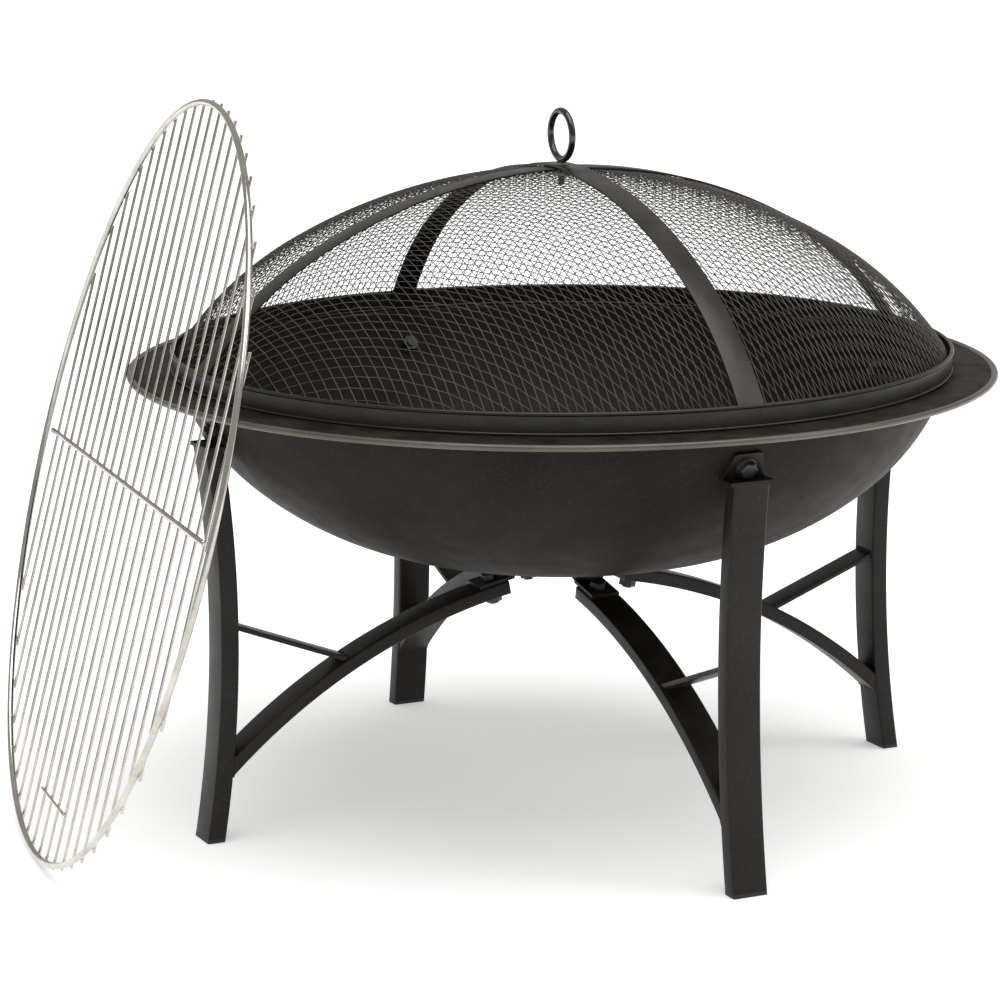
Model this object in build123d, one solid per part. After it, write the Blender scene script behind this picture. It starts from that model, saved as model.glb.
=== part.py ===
from build123d import *
import os
from math import acos, asin, atan2, cos, degrees, hypot, radians, sin, sqrt, tan

# Garden fire pit: a steel bowl on four curved legs, a lift-off spark screen with a
# lifting ring, and a round wire cooking grate that leans against the rim.
# Millimetres, +Z up. The parts are modelled about the bowl's axis with the ground at
# z = 0, and footprint_shift() then moves all of them so that the origin is the bottom
# centre of the whole object, leaning grate included.

# ---- driving dimensions -------------------------------------------------------------
STEEL_WALL = 1.5            # sheet thickness of bowl and tube walls
CLEARANCE = 0.3             # between pieces on different moving bodies

# fire bowl and its rim
RIM_RADIUS = 381.0          # outside of the rolled edge, a 30 inch bowl
BEAD_RADIUS = 2.7           # rolled edge section
BEAD_Z = 387.0
FLANGE_TOP_Z = 388.7
BOWL_BOTTOM_Z = 218.7       # outside of the bowl at its centre
BOWL_ARCS = ((1025.0, 6.68), (300.7, 33.12))    # radius and turn of the lower two arcs
BOWL_WALL_ARC_RADIUS = 197.0

# legs
FRONT_RIGHT_AZIMUTH = -63.3
LEG_NAMES = ("front_right", "back_right", "back_left", "front_left")
LEG_WIDTH = 32.0
LEG_DEPTH = 16.0
LEG_WAIST_RADIUS = 330.2    # outer face, where the leg comes nearest to the axis
LEG_WAIST_Z = 187.5
LEG_BEND_RADIUS = 1100.0
LEG_TOP_Z = 343.0
LEG_CORNER = 2.0
FOOT_CAP_HEIGHT = 3.0
FOOT_PLUG_HEIGHT = 15.0
PLUG_GAP = 0.1

# arched braces from the legs to the underside of the bowl
BRACE_WIDTH = 30.0
BRACE_DEPTH = 12.0
BRACE_ARC_RADIUS = 541.0    # upper face
BRACE_ARC_CENTRE = (-39.6, -330.2)
BRACE_END_RADIUS = 58.6
BRACE_LEG_Z = 66.0          # middle of the brace's lower end, on the leg
BRACE_SWEEP_END = 45.5      # degrees from the top of its arc, a little way inside the leg
BRACE_CORNER = 1.5

# flat struts between leg and brace
STRUT_WIDTH = 26.0
STRUT_THICKNESS = 4.0
STRUT_LEG_POINT = (318.0, 188.0)
STRUT_BRACE_POINT = (206.0, 145.0)

# bent brackets, 3 mm plate
PLATE = 3.0
LEG_BRACKET_MID_Z = 358.0
LEG_BRACKET_WIDTH = 40.0
LEG_TAB_LENGTH = 12.0
LEG_TAB_TOP_WIDTH = 25.0
BOWL_BRACKET_FOOT_WIDTH = 27.0
BOWL_BRACKET_TOP_WIDTH = 44.0
BOWL_BRACKET_FOOT_MID = 70.0
BOWL_BRACKET_FOOT_HALF = 16.0
BOWL_BRACKET_TOP_MID = 38.0
BOWL_BRACKET_TOP_HALF = 13.0

# M8 fasteners
BOLT_RADIUS = 4.0
BOLT_HOLE_RADIUS = 4.3
HEX_RADIUS = 7.5            # across corners / 2
HEAD_HEIGHT = 5.0
NUT_HEIGHT = 6.0
WASHER_RADIUS = 9.0
WASHER_THICKNESS = 1.6
NUT_SEAT_GAP = 0.35         # a flat nut or head stands off a curved wall by this much
SEAT_GAP = 0.05             # a washer or nut above a flat plate

# spark screen
SCREEN_BAND_RADIUS = 341.5
SCREEN_BAND_WALL = 1.5
SCREEN_BAND_TOP_Z = 408.5
BAND_TOP_BEAD = 1.8
BAND_BOTTOM_BEAD = 1.5
MESH_SKIRT_RADIUS = 336.0
MESH_SKIRT_BOTTOM_Z = 396.0
MESH_THICKNESS = 0.8
MESH_APEX_Z = 561.0
DOME_TOP_ARC_RADIUS = 473.4
DOME_TOP_ARC_ANGLE = 30.74
DOME_SHOULDER_RADIUS = 296.2
STRAP_WIDTH = 24.0
STRAP_THICKNESS = 1.8
STRAP_GAP = 0.1
RING_RADIUS = 20.9          # centre line of the lifting ring
RING_WIRE_RADIUS = 3.0
STUD_RADIUS = 3.0
STUD_LENGTH = 16.0
TOP_WASHER_RADIUS = 7.0
TOP_WASHER_THICKNESS = 1.2

# wire cooking grate
GRATE_LEAN_AZIMUTH = -161.7  # side of the pit that the grate leans on
GRATE_LEAN_ANGLE = 15.0      # from upright
GRATE_SIDE_SHIFT = 50.0      # grate's centre, along the rim from the touching point
GRATE_RING_RADIUS = 324.5
GRATE_RING_WIRE = 2.8
GRATE_WIRE = 1.3
GRATE_WIRE_END_RADIUS = 328.2
GRATE_WIRE_SPACING = 29.2
GRATE_WIRES_PER_SIDE = 10
GRATE_TWIST = 2.0            # wires' direction, turned in the grate's own plane
CROSS_BAR_WIRE = 2.3
CROSS_BAR_OVERHANG = 8.0
SHORT_BAR_WIRE = 1.3
SHORT_BAR_HEIGHT = -275.0
SHORT_BAR_FIRST_WIRE = -1
SHORT_BAR_LAST_WIRE = 2
SHORT_BAR_OVERHANG = 4.0

os.makedirs("parts", exist_ok=True)


# ---- placing -------------------------------------------------------------------------
def leg_azimuth(name):
    return FRONT_RIGHT_AZIMUTH + 90.0 * LEG_NAMES.index(name)


def turned(shape, azimuth):
    """A piece modelled on the +X side, turned to its place about the bowl's axis."""
    return shape.rotate(Axis.Z, azimuth)


def section(face):
    """A flat outline in (radius, height), stood up in the radial plane."""
    return Plane.XZ * face


def ring_of(face):
    return revolve(section(face), Axis.Z)


def slab(face, width):
    return extrude(section(face), width / 2, both=True)


def disc_face(centre, radius):
    return Pos(centre[0], centre[1]) * Circle(radius)


def box_face(low, high):
    middle = ((low[0] + high[0]) / 2, (low[1] + high[1]) / 2)
    return Pos(*middle) * Rectangle(high[0] - low[0], high[1] - low[1])


# ---- fire bowl -----------------------------------------------------------------------
def arc_chain(start_z, arcs, last_radius):
    """Centres, radii and start angles of arcs that run smoothly out from the axis."""
    centre = (0.0, start_z + arcs[0][0])
    heading = 0.0
    chain = []
    radii = [radius for radius, turn in arcs] + [last_radius]
    for index, (radius, turn) in enumerate(arcs):
        chain.append((centre, radius, heading, heading + turn))
        heading += turn
        step = radius - radii[index + 1]
        direction = (sin(radians(heading)), -cos(radians(heading)))
        centre = (centre[0] + step * direction[0], centre[1] + step * direction[1])
    chain.append((centre, last_radius, heading, None))
    return chain


BOWL_CHAIN = arc_chain(BOWL_BOTTOM_Z, BOWL_ARCS, BOWL_WALL_ARC_RADIUS)
WALL_CENTRE = BOWL_CHAIN[-1][0]


def wall_radius(z, inset=0.0):
    """Radius of the bowl's side wall at height z, inset from the outer face."""
    radius = BOWL_WALL_ARC_RADIUS - inset
    return WALL_CENTRE[0] + sqrt(radius ** 2 - (WALL_CENTRE[1] - z) ** 2)


def bowl_arc_edges(inset, top_z):
    """The bowl's profile, from the axis up to top_z, as three arcs."""
    edges = []
    for centre, radius, start, end in BOWL_CHAIN:
        inner = radius - inset
        if end is None:
            end = degrees(acos((centre[1] - top_z) / inner))
        points = []
        for angle in (start, (start + end) / 2, end):
            turn = radians(angle)
            points.append((centre[0] + inner * sin(turn), centre[1] - inner * cos(turn)))
        edges.append(ThreePointArc(*points))
    return edges


def bowl_face():
    underside_z = FLANGE_TOP_Z - STEEL_WALL
    bead_centre = (RIM_RADIUS - BEAD_RADIUS, BEAD_Z)
    outer = bowl_arc_edges(0.0, underside_z)
    inner = bowl_arc_edges(STEEL_WALL, FLANGE_TOP_Z)
    outer_top = outer[-1] @ 1
    inner_top = inner[-1] @ 1
    rim = Polyline(outer_top, (bead_centre[0], underside_z), (bead_centre[0], FLANGE_TOP_Z), inner_top)
    axis_line = Line(inner[0] @ 0, outer[0] @ 0)
    sheet = make_face(outer + [rim, axis_line] + inner)
    corners = sheet.vertices().filter_by(lambda v: abs(v.X - inner_top.X) < 0.1 and v.Y > underside_z)
    sheet = fillet(corners, 3.0)
    return sheet + disc_face(bead_centre, BEAD_RADIUS)


def fire_bowl():
    bowl = ring_of(bowl_face())
    holes = []
    for name in LEG_NAMES:
        holes.append(turned(leg_bolt_axis() * Cylinder(BOLT_HOLE_RADIUS, 40), leg_azimuth(name)))
        holes.append(turned(bowl_bolt_axis() * Cylinder(BOLT_HOLE_RADIUS, 20), leg_azimuth(name)))
    return bowl - holes


# ---- legs ----------------------------------------------------------------------------
LEG_ARC_CENTRE = (LEG_WAIST_RADIUS + LEG_BEND_RADIUS, LEG_WAIST_Z)


def leg_face(low_z, high_z, inset=0.0):
    """Side view of the leg between two heights, inset from its faces."""
    outer = disc_face(LEG_ARC_CENTRE, LEG_BEND_RADIUS + LEG_DEPTH - inset)
    inner = disc_face(LEG_ARC_CENTRE, LEG_BEND_RADIUS + inset)
    return (outer - inner) & box_face((0, low_z), (LEG_ARC_CENTRE[0], high_z))


def leg():
    bottom_z = FOOT_CAP_HEIGHT
    body = slab(leg_face(bottom_z, LEG_TOP_Z), LEG_WIDTH)
    long_edges = body.edges().filter_by(GeomType.CIRCLE)
    body = fillet(long_edges, LEG_CORNER)
    bore = slab(leg_face(bottom_z - 1, LEG_TOP_Z + 1, STEEL_WALL), LEG_WIDTH - 2 * STEEL_WALL)
    return body - bore


def foot_cap():
    plate = slab(leg_face(0, FOOT_CAP_HEIGHT), LEG_WIDTH)
    plate = fillet(plate.edges().filter_by(GeomType.CIRCLE), LEG_CORNER)
    plug_inset = STEEL_WALL + PLUG_GAP
    plug = slab(leg_face(FOOT_CAP_HEIGHT, FOOT_CAP_HEIGHT + FOOT_PLUG_HEIGHT, plug_inset),
                LEG_WIDTH - 2 * plug_inset)
    return plate + plug


# ---- braces and struts ---------------------------------------------------------------
def leg_side_face():
    """The leg's side of the flat cut in which a brace ends, touching the leg's inner face."""
    tilt = asin((LEG_WAIST_Z - BRACE_LEG_Z) / (LEG_BEND_RADIUS + LEG_DEPTH))
    touch = LEG_ARC_CENTRE[0] - (LEG_BEND_RADIUS + LEG_DEPTH) * cos(tilt) - SEAT_GAP
    rise = (-60 * sin(tilt), 60 * cos(tilt))
    low = (touch - rise[0], BRACE_LEG_Z - rise[1])
    high = (touch + rise[0], BRACE_LEG_Z + rise[1])
    return make_face(Polyline(low, high, (high[0] + 80, high[1]), (low[0] + 80, low[1]), close=True))


def brace_tube(outline, end_radius):
    """An outline swept along the brace's arch, from near the axis until it is inside the leg."""
    start = asin((end_radius - BRACE_ARC_CENTRE[0]) / BRACE_ARC_RADIUS)
    middle = BRACE_ARC_RADIUS - BRACE_DEPTH / 2
    centre = (BRACE_ARC_CENTRE[0], 0, BRACE_ARC_CENTRE[1])
    origin = (centre[0] + middle * sin(start), 0, centre[2] + middle * cos(start))
    plane = Plane(origin=origin, x_dir=(0, 1, 0), z_dir=(cos(start), 0, -sin(start)))
    turn = BRACE_SWEEP_END - degrees(start)
    return revolve(plane * outline, Axis(centre, (0, 1, 0)), revolution_arc=turn)


def brace():
    body = brace_tube(RectangleRounded(BRACE_WIDTH, BRACE_DEPTH, BRACE_CORNER), BRACE_END_RADIUS)
    bore_outline = Rectangle(BRACE_WIDTH - 2 * STEEL_WALL, BRACE_DEPTH - 2 * STEEL_WALL)
    bore = brace_tube(bore_outline, BRACE_END_RADIUS + PLATE)
    hole = brace_bolt_axis() * Cylinder(BOLT_HOLE_RADIUS, 60)
    return body - slab(leg_side_face(), 2 * BRACE_WIDTH) - bore - hole


def strut():
    run = (STRUT_LEG_POINT[0] - STRUT_BRACE_POINT[0], STRUT_LEG_POINT[1] - STRUT_BRACE_POINT[1])
    middle = (STRUT_BRACE_POINT[0] + run[0] / 2, STRUT_BRACE_POINT[1] + run[1] / 2)
    bar = Pos(*middle) * Rot(0, 0, degrees(atan2(run[1], run[0]))) * Rectangle(hypot(*run), STRUT_THICKNESS)
    bar = bar - disc_face(LEG_ARC_CENTRE, LEG_BEND_RADIUS + LEG_DEPTH)
    bar = bar - disc_face(BRACE_ARC_CENTRE, BRACE_ARC_RADIUS)
    return slab(bar, STRUT_WIDTH)


# ---- bent brackets -------------------------------------------------------------------
def tilted_plane(radius, z, tilt):
    """A plane on the +X side whose normal points outward, raised by tilt degrees."""
    normal = (cos(radians(tilt)), 0, sin(radians(tilt)))
    return Plane(origin=(radius, 0, z), x_dir=(0, 1, 0), z_dir=normal)


LEG_TAB_TILT = -degrees(asin((WALL_CENTRE[1] - LEG_BRACKET_MID_Z) / BOWL_WALL_ARC_RADIUS))


def leg_tab_plane():
    """Where the leg bracket's tab touches the bowl's wall."""
    touch = wall_radius(LEG_BRACKET_MID_Z) + SEAT_GAP
    return tilted_plane(touch, LEG_BRACKET_MID_Z, LEG_TAB_TILT)


def leg_bolt_axis():
    return leg_tab_plane() * Pos(0, -1, 0)


def leg_bracket():
    """A shelf welded on the leg's top and a tapered tab bolted to the bowl's wall."""
    half = LEG_BRACKET_WIDTH / 2
    top_half = LEG_TAB_TOP_WIDTH / 2
    foot = -(LEG_BRACKET_MID_Z - LEG_TOP_Z) / cos(radians(LEG_TAB_TILT))
    bend = foot + PLATE
    outline = Polyline((-half, foot - PLATE), (half, foot - PLATE), (half, bend),
                       (top_half, LEG_TAB_LENGTH), (-top_half, LEG_TAB_LENGTH), (-half, bend), close=True)
    tab_face = make_face(outline)
    top_corners = tab_face.vertices().group_by(Axis.Y)[-1]
    tab = extrude(leg_tab_plane() * fillet(top_corners, 3.0), PLATE)
    tab_height = LEG_BRACKET_MID_Z - LEG_TOP_Z - PLATE
    shelf_inner = wall_radius(LEG_BRACKET_MID_Z) - tab_height * tan(radians(-LEG_TAB_TILT)) + 0.5
    shelf_outer = LEG_ARC_CENTRE[0] - sqrt(LEG_BEND_RADIUS ** 2 - (LEG_TOP_Z - LEG_WAIST_Z) ** 2) + 1.0
    shelf = slab(box_face((shelf_inner, LEG_TOP_Z), (shelf_outer, LEG_TOP_Z + PLATE)), LEG_BRACKET_WIDTH)
    below = Pos(shelf_outer, 0, LEG_TOP_Z - 50) * Box(100, 100, 100)
    hole = leg_bolt_axis() * Cylinder(BOLT_HOLE_RADIUS, 20)
    return (tab + shelf) - below - hole


def brace_top(radius):
    """Height and downward slope of the brace's upper face at a radius."""
    angle = asin((radius - BRACE_ARC_CENTRE[0]) / BRACE_ARC_RADIUS)
    return BRACE_ARC_CENTRE[1] + BRACE_ARC_RADIUS * cos(angle), degrees(angle)


def bowl_underside(radius):
    """Height and upward slope of the bowl's underside near the centre."""
    angle = asin(radius / BOWL_ARCS[0][0])
    return BOWL_BOTTOM_Z + BOWL_ARCS[0][0] * (1 - cos(angle)), degrees(angle)


def brace_bolt_axis():
    z, slope = brace_top(BOWL_BRACKET_FOOT_MID)
    return Plane(origin=(BOWL_BRACKET_FOOT_MID, 0, z), x_dir=(0, 1, 0),
                 z_dir=(sin(radians(slope)), 0, cos(radians(slope))))


def bowl_bolt_axis():
    z, slope = bowl_underside(BOWL_BRACKET_TOP_MID)
    return Plane(origin=(BOWL_BRACKET_TOP_MID, 0, z), x_dir=(0, 1, 0),
                 z_dir=(-sin(radians(slope)), 0, cos(radians(slope))))


def bowl_bracket():
    """A stepped plate: a foot on the brace, a riser that widens, a leaf under the bowl."""
    foot_z, foot_slope = brace_top(BOWL_BRACKET_FOOT_MID)
    leaf_z, leaf_slope = bowl_underside(BOWL_BRACKET_TOP_MID)
    foot = Pos(BOWL_BRACKET_FOOT_MID, foot_z) * Rot(0, 0, -foot_slope) \
        * Pos(0, PLATE / 2) * Rectangle(2 * BOWL_BRACKET_FOOT_HALF, PLATE)
    leaf = Pos(BOWL_BRACKET_TOP_MID, leaf_z) * Rot(0, 0, leaf_slope) \
        * Pos(0, -PLATE / 2) * Rectangle(2 * BOWL_BRACKET_TOP_HALF, PLATE)
    riser_low = BOWL_BRACKET_FOOT_MID - BOWL_BRACKET_FOOT_HALF
    riser_high = BOWL_BRACKET_TOP_MID + BOWL_BRACKET_TOP_HALF
    foot_end_z = brace_top(riser_low)[0]
    riser = make_face(Polyline((riser_low - 1.5, foot_end_z + 0.4), (riser_low + 1.5, foot_end_z + 0.2),
                               (riser_high + 1.5, leaf_z), (riser_high - 1.5, leaf_z), close=True))
    plate = slab(foot + riser + leaf, BOWL_BRACKET_TOP_WIDTH)
    narrow = BOWL_BRACKET_FOOT_WIDTH / 2
    wide = BOWL_BRACKET_TOP_WIDTH / 2
    low_z = foot_end_z + PLATE
    high_z = leaf_z - PLATE
    front = Polyline((-narrow, 0), (narrow, 0), (narrow, low_z), (wide, high_z), (wide, leaf_z + 9),
                     (-wide, leaf_z + 9), (-wide, high_z), (-narrow, low_z), close=True)
    plate = plate & extrude(Plane.YZ * make_face(front), 200)
    holes = [brace_bolt_axis() * Cylinder(BOLT_HOLE_RADIUS, 30), bowl_bolt_axis() * Cylinder(BOLT_HOLE_RADIUS, 30)]
    return plate - holes


# ---- fasteners -----------------------------------------------------------------------
def hex_prism(height):
    return extrude(RegularPolygon(HEX_RADIUS, 6), height)


def bolt(grip):
    """Head on the plane, shank running down through the grip and a nut."""
    head = chamfer(hex_prism(HEAD_HEIGHT).edges().group_by(Axis.Z)[-1], 0.6)
    length = grip + NUT_HEIGHT + 2.0
    return head + Pos(0, 0, -length / 2) * Cylinder(BOLT_RADIUS, length)


def nut():
    return hex_prism(NUT_HEIGHT) - Cylinder(BOLT_RADIUS, 4 * NUT_HEIGHT)


def washer():
    ring = extrude(Circle(WASHER_RADIUS) - Circle(BOLT_HOLE_RADIUS), WASHER_THICKNESS)
    return ring


def group(shapes):
    """Separate solids that share one node."""
    solids = []
    for shape in shapes:
        solids.extend(shape.solids())
    return Compound(solids)


def four_times(shape):
    return group([turned(shape, leg_azimuth(name)) for name in LEG_NAMES])


def fastener_nodes():
    tab_grip = PLATE + WASHER_THICKNESS + STEEL_WALL + NUT_SEAT_GAP + 3 * SEAT_GAP
    tab = leg_bolt_axis()
    brace_grip = PLATE + BRACE_DEPTH
    washer_top = PLATE + WASHER_THICKNESS + SEAT_GAP
    foot = brace_bolt_axis()
    leaf = bowl_bolt_axis()
    bowl_grip = STEEL_WALL + NUT_SEAT_GAP + PLATE + SEAT_GAP
    return {
        "leg_bracket_bolts": four_times(tab * Pos(0, 0, washer_top + SEAT_GAP) * bolt(tab_grip)),
        "leg_bracket_washers": four_times(tab * Pos(0, 0, PLATE + SEAT_GAP) * washer()),
        "leg_bracket_nuts": four_times(tab * Pos(0, 0, -STEEL_WALL - NUT_SEAT_GAP - NUT_HEIGHT) * nut()),
        "brace_bolts": four_times(foot * Pos(0, 0, PLATE + SEAT_GAP) * bolt(brace_grip)),
        "brace_nuts": four_times(foot * Pos(0, 0, -BRACE_DEPTH - NUT_SEAT_GAP - NUT_HEIGHT) * nut()),
        "bowl_base_bolts": four_times(leaf * Pos(0, 0, STEEL_WALL + NUT_SEAT_GAP) * bolt(bowl_grip)),
        "bowl_base_nuts": four_times(leaf * Pos(0, 0, -PLATE - SEAT_GAP - NUT_HEIGHT) * nut()),
    }


# ---- spark screen --------------------------------------------------------------------
def dome_arcs(offset):
    """Centres and radii of the dome's top and shoulder arcs, offset outwards."""
    top_centre = (0.0, MESH_APEX_Z - DOME_TOP_ARC_RADIUS)
    step = DOME_TOP_ARC_RADIUS - DOME_SHOULDER_RADIUS
    turn = radians(DOME_TOP_ARC_ANGLE)
    shoulder_centre = (step * sin(turn), top_centre[1] + step * cos(turn))
    return top_centre, DOME_TOP_ARC_RADIUS + offset, shoulder_centre, DOME_SHOULDER_RADIUS + offset


def dome_edges(offset, end_radius, start_radius=0.0):
    """The dome's profile from near the axis out to end_radius, as two arcs."""
    top_centre, top_radius, shoulder_centre, shoulder_radius = dome_arcs(offset)
    joint = radians(DOME_TOP_ARC_ANGLE)
    first = asin(start_radius / top_radius)
    last = asin((end_radius - shoulder_centre[0]) / shoulder_radius)
    edges = []
    for centre, radius, start, end in ((top_centre, top_radius, first, joint),
                                       (shoulder_centre, shoulder_radius, joint, last)):
        points = []
        for angle in (start, (start + end) / 2, end):
            points.append((centre[0] + radius * sin(angle), centre[1] + radius * cos(angle)))
        edges.append(ThreePointArc(*points))
    return edges


def dome_band_face(low_offset, high_offset, low_end, high_end, bottom_z, start_radius=0.0):
    """A layer of the dome that turns down into a short straight skirt."""
    lower = dome_edges(low_offset, low_end, start_radius)
    upper = dome_edges(high_offset, high_end, start_radius)
    start_line = Line(lower[0] @ 0, upper[0] @ 0)
    skirt = Polyline(upper[-1] @ 1, (high_end, bottom_z), (low_end, bottom_z), lower[-1] @ 1)
    return make_face(lower + upper + [start_line, skirt])


def screen_mesh():
    return ring_of(dome_band_face(-MESH_THICKNESS, 0.0, MESH_SKIRT_RADIUS - MESH_THICKNESS,
                                  MESH_SKIRT_RADIUS, MESH_SKIRT_BOTTOM_Z))


def screen_band():
    bottom_z = FLANGE_TOP_Z + CLEARANCE
    inner = SCREEN_BAND_RADIUS - SCREEN_BAND_WALL
    wall = box_face((inner, bottom_z + 0.5), (SCREEN_BAND_RADIUS, SCREEN_BAND_TOP_Z - 0.5))
    middle = inner + SCREEN_BAND_WALL / 2
    top_bead = disc_face((middle, SCREEN_BAND_TOP_Z - BAND_TOP_BEAD), BAND_TOP_BEAD)
    bottom_bead = disc_face((middle, bottom_z + BAND_BOTTOM_BEAD), BAND_BOTTOM_BEAD)
    return ring_of(wall + top_bead + bottom_bead)


def strap(rise):
    """A full strap over the dome; rise lifts its crown over the strap that it crosses."""
    low_end = MESH_SKIRT_RADIUS + STRAP_GAP
    high_end = low_end + STRAP_THICKNESS
    half = dome_band_face(STRAP_GAP, STRAP_GAP + STRAP_THICKNESS, low_end, high_end, MESH_SKIRT_BOTTOM_Z)
    if rise > 0:
        ramp_start = 2 * STRAP_WIDTH
        ramp_end = STRAP_WIDTH
        crown_low = STRAP_GAP + rise
        flat_half = dome_band_face(STRAP_GAP, STRAP_GAP + STRAP_THICKNESS, low_end, high_end,
                                   MESH_SKIRT_BOTTOM_Z, ramp_start)
        low_in = dome_height(ramp_end, crown_low)
        low_out = dome_height(ramp_start, STRAP_GAP)
        ramp = make_face(Polyline((ramp_end, low_in), (ramp_start, low_out),
                                  (ramp_start, low_out + STRAP_THICKNESS),
                                  (ramp_end, low_in + STRAP_THICKNESS), close=True))
        crown_top = dome_height(0, crown_low)
        crown = make_face([ThreePointArc((0, crown_top), (ramp_end / 2, dome_height(ramp_end / 2, crown_low)),
                                         (ramp_end, low_in)),
                           ThreePointArc((0, crown_top + STRAP_THICKNESS),
                                         (ramp_end / 2, dome_height(ramp_end / 2, crown_low) + STRAP_THICKNESS),
                                         (ramp_end, low_in + STRAP_THICKNESS)),
                           Line((0, crown_top), (0, crown_top + STRAP_THICKNESS)),
                           Line((ramp_end, low_in), (ramp_end, low_in + STRAP_THICKNESS))])
        half = flat_half + ramp + crown
    one_side = slab(half, STRAP_WIDTH)
    whole = one_side + one_side.rotate(Axis.Z, 180)
    return whole - Pos(0, 0, MESH_APEX_Z) * Cylinder(STUD_RADIUS + 0.2, 40)


def dome_height(radius, offset):
    """Height of the dome's top arc at a small radius, offset outwards."""
    top_centre, top_radius, _, _ = dome_arcs(offset)
    return top_centre[1] + sqrt(top_radius ** 2 - radius ** 2)


UPPER_STRAP_RISE = STRAP_THICKNESS + 3 * STRAP_GAP
CROWN_TOP_Z = MESH_APEX_Z + STRAP_GAP + UPPER_STRAP_RISE + STRAP_THICKNESS


def lifting_ring():
    """The ring and the threaded stud under it, one welded piece."""
    seat_z = CROWN_TOP_Z + SEAT_GAP / 2 + TOP_WASHER_THICKNESS
    centre_z = seat_z + SEAT_GAP + RING_RADIUS + RING_WIRE_RADIUS
    ring = Pos(0, 0, centre_z) * Rot(90, 0, 0) * Torus(RING_RADIUS, RING_WIRE_RADIUS)
    stud_top = seat_z + RING_WIRE_RADIUS
    stud = Pos(0, 0, stud_top - (STUD_LENGTH + 6) / 2) * Cylinder(STUD_RADIUS, STUD_LENGTH + 6)
    return turned(ring + stud, FRONT_RIGHT_AZIMUTH)


def ring_washer():
    hole = STUD_RADIUS + 0.1
    flat = extrude(Circle(TOP_WASHER_RADIUS) - Circle(hole), TOP_WASHER_THICKNESS)
    return Pos(0, 0, CROWN_TOP_Z + SEAT_GAP / 2) * flat


def ring_nut():
    underside = MESH_APEX_Z - MESH_THICKNESS
    body = extrude(RegularPolygon(6.4, 6), 5) - Cylinder(STUD_RADIUS, 20)
    return Pos(0, 0, underside - 5.3) * body


# ---- cooking grate -------------------------------------------------------------------
def grate_plane():
    """The grate's own plane: x along it sideways, y up along it, z away from the pit."""
    lean = radians(GRATE_LEAN_ANGLE)
    side = radians(GRATE_LEAN_AZIMUTH)
    outward = (cos(side), sin(side))
    sideways = (-sin(side), cos(side), 0.0)
    normal = Vector(outward[0] * cos(lean), outward[1] * cos(lean), sin(lean))
    back_depth = GRATE_RING_WIRE + 2 * GRATE_WIRE
    rim_reach = (RIM_RADIUS - BEAD_RADIUS) * cos(lean) + BEAD_Z * sin(lean)
    offset = rim_reach + BEAD_RADIUS + CLEARANCE + back_depth
    centre_z = (GRATE_WIRE_END_RADIUS * cos(lean)) + back_depth * sin(lean) + CLEARANCE
    centre_out = (offset - centre_z * sin(lean)) / cos(lean)
    origin = (outward[0] * centre_out + sideways[0] * GRATE_SIDE_SHIFT,
              outward[1] * centre_out + sideways[1] * GRATE_SIDE_SHIFT, centre_z)
    return Plane(origin=origin, x_dir=sideways, z_dir=normal)


def grate_place():
    return grate_plane() * Rot(0, 0, GRATE_TWIST)


WIRE_LAYER = -(GRATE_RING_WIRE + GRATE_WIRE)
CROSS_BAR_LAYER = WIRE_LAYER + GRATE_WIRE + CROSS_BAR_WIRE
SHORT_BAR_LAYER = WIRE_LAYER + GRATE_WIRE + SHORT_BAR_WIRE


def wire_numbers():
    return range(-GRATE_WIRES_PER_SIDE, GRATE_WIRES_PER_SIDE + 1)


def grate_ring():
    return grate_place() * Torus(GRATE_RING_RADIUS, GRATE_RING_WIRE)


def grate_wires():
    wires = []
    for number in wire_numbers():
        x = number * GRATE_WIRE_SPACING
        length = 2 * sqrt(GRATE_WIRE_END_RADIUS ** 2 - x ** 2)
        wire = Pos(x, 0, WIRE_LAYER) * Rot(90, 0, 0) * Cylinder(GRATE_WIRE, length)
        wires.append(grate_place() * wire)
    return group(wires)


def rounded_bar(start, end, wire_radius, y, layer):
    length = end - start
    bar = Rot(0, 90, 0) * Cylinder(wire_radius, length)
    bar = fillet(bar.edges(), wire_radius * 0.8)
    return grate_place() * Pos((start + end) / 2, y, layer) * bar


def grate_cross_bar():
    reach = GRATE_WIRES_PER_SIDE * GRATE_WIRE_SPACING + CROSS_BAR_OVERHANG
    return rounded_bar(-reach, reach, CROSS_BAR_WIRE, 0, CROSS_BAR_LAYER)


def grate_short_bar():
    start = SHORT_BAR_FIRST_WIRE * GRATE_WIRE_SPACING - SHORT_BAR_OVERHANG
    end = SHORT_BAR_LAST_WIRE * GRATE_WIRE_SPACING + SHORT_BAR_OVERHANG
    return rounded_bar(start, end, SHORT_BAR_WIRE, SHORT_BAR_HEIGHT, SHORT_BAR_LAYER)


# ---- the whole object ----------------------------------------------------------------
def footprint_shift():
    """From the bowl's axis to the middle of the whole object's plan view."""
    plane = grate_plane()
    lows = []
    for world, reach in ((Vector(1, 0, 0), RIM_RADIUS), (Vector(0, 1, 0), RIM_RADIUS)):
        spread = hypot(plane.x_dir.dot(world), plane.y_dir.dot(world))
        ring_low = plane.origin.dot(world) - GRATE_RING_RADIUS * spread - GRATE_RING_WIRE
        lows.append((min(ring_low, -reach) + reach) / 2)
    return lows


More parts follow.
